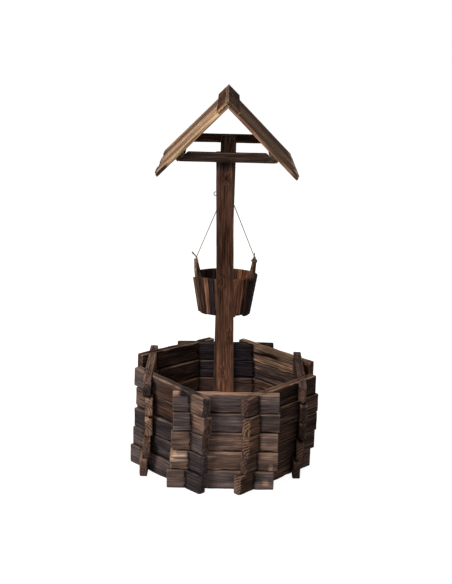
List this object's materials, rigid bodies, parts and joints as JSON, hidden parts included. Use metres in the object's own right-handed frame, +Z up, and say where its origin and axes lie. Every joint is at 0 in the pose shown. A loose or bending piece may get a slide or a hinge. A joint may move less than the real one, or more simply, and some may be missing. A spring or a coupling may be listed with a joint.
{
  "type": "wishing well planter",
  "caption": "Rustic wishing well planter: an octagonal wall of half-lapped boards, posts carrying a pitched slat roof, and a stave bucket hung by twine from a round bar.",
  "frame": {"origin": "middle of the octagonal wall, on the ground", "axes": "+Z up; -Y faces the viewer in the picture, with one post at the front and one at the rear; +X to the right"},
  "size_m": [0.5688, 0.5621, 1.1193],
  "materials": {
    "wall_boards": "scorched softwood, open grain, lighter worn arrises",
    "posts": "scorched softwood, reddish brown, straight grain",
    "crossbars": "dark scorched softwood",
    "left_roof": "pale softwood, lightly scorched at the edges",
    "right_roof": "scorched softwood with pale sawn edges",
    "ridge_caps": "dark scorched softwood",
    "rope_bar": "dark scorched softwood, turned",
    "bucket": "scorched staves, each its own shade of brown",
    "twine": "twisted natural fibre",
    "staple": "dull drawn wire"
  },
  "bodies": {
    "well": {"course_1_front": "wall_boards", "course_1_front_right": "wall_boards", "course_1_right": "wall_boards", "course_1_rear_right": "wall_boards", "course_1_rear": "wall_boards", "course_1_rear_left": "wall_boards", "course_1_left": "wall_boards", "course_1_front_left": "wall_boards", "course_2_front": "wall_boards", "course_2_front_right": "wall_boards", "course_2_right": "wall_boards", "course_2_rear_right": "wall_boards", "course_2_rear": "wall_boards", "course_2_rear_left": "wall_boards", "course_2_left": "wall_boards", "course_2_front_left": "wall_boards", "course_3_front": "wall_boards", "course_3_front_right": "wall_boards", "course_3_right": "wall_boards", "course_3_rear_right": "wall_boards", "course_3_rear": "wall_boards", "course_3_rear_left": "wall_boards", "course_3_left": "wall_boards", "course_3_front_left": "wall_boards", "course_4_front": "wall_boards", "course_4_front_right": "wall_boards", "course_4_right": "wall_boards", "course_4_rear_right": "wall_boards", "course_4_rear": "wall_boards", "course_4_rear_left": "wall_boards", "course_4_left": "wall_boards", "course_4_front_left": "wall_boards", "course_5_front": "wall_boards", "course_5_front_right": "wall_boards", "course_5_right": "wall_boards", "course_5_rear_right": "wall_boards", "course_5_rear": "wall_boards", "course_5_rear_left": "wall_boards", "course_5_left": "wall_boards", "course_5_front_left": "wall_boards", "front_post": "posts", "rear_post": "posts", "front_crossbar": "crossbars", "rear_crossbar": "crossbars", "left_roof_panel": "left_roof", "right_roof_panel": "right_roof", "left_ridge_cap": "ridge_caps", "right_ridge_cap": "ridge_caps", "rope_bar": "rope_bar", "post_staple": "staple"},
    "twine": {"twine": "twine"},
    "bucket": {"bucket_front_staves": "bucket", "bucket_rear_staves": "bucket", "bucket_left_ear": "bucket", "bucket_right_ear": "bucket", "bucket_floor": "bucket"}
  },
  "joints": [
    {"name": "bucket_swing", "type": "hinge", "parent": "well", "child": "twine", "pos_m": [-0.0066, 0, 0.81383], "axis": [0, 1, 0], "range_deg": [-35, 35]},
    {"name": "bucket_tip", "type": "hinge", "parent": "twine", "child": "bucket", "pos_m": [-0.00814, -0.00375, 0.62193], "axis": [0.8603, -0.4893, 0.1429], "range_deg": [-50, 50]}
  ]
}
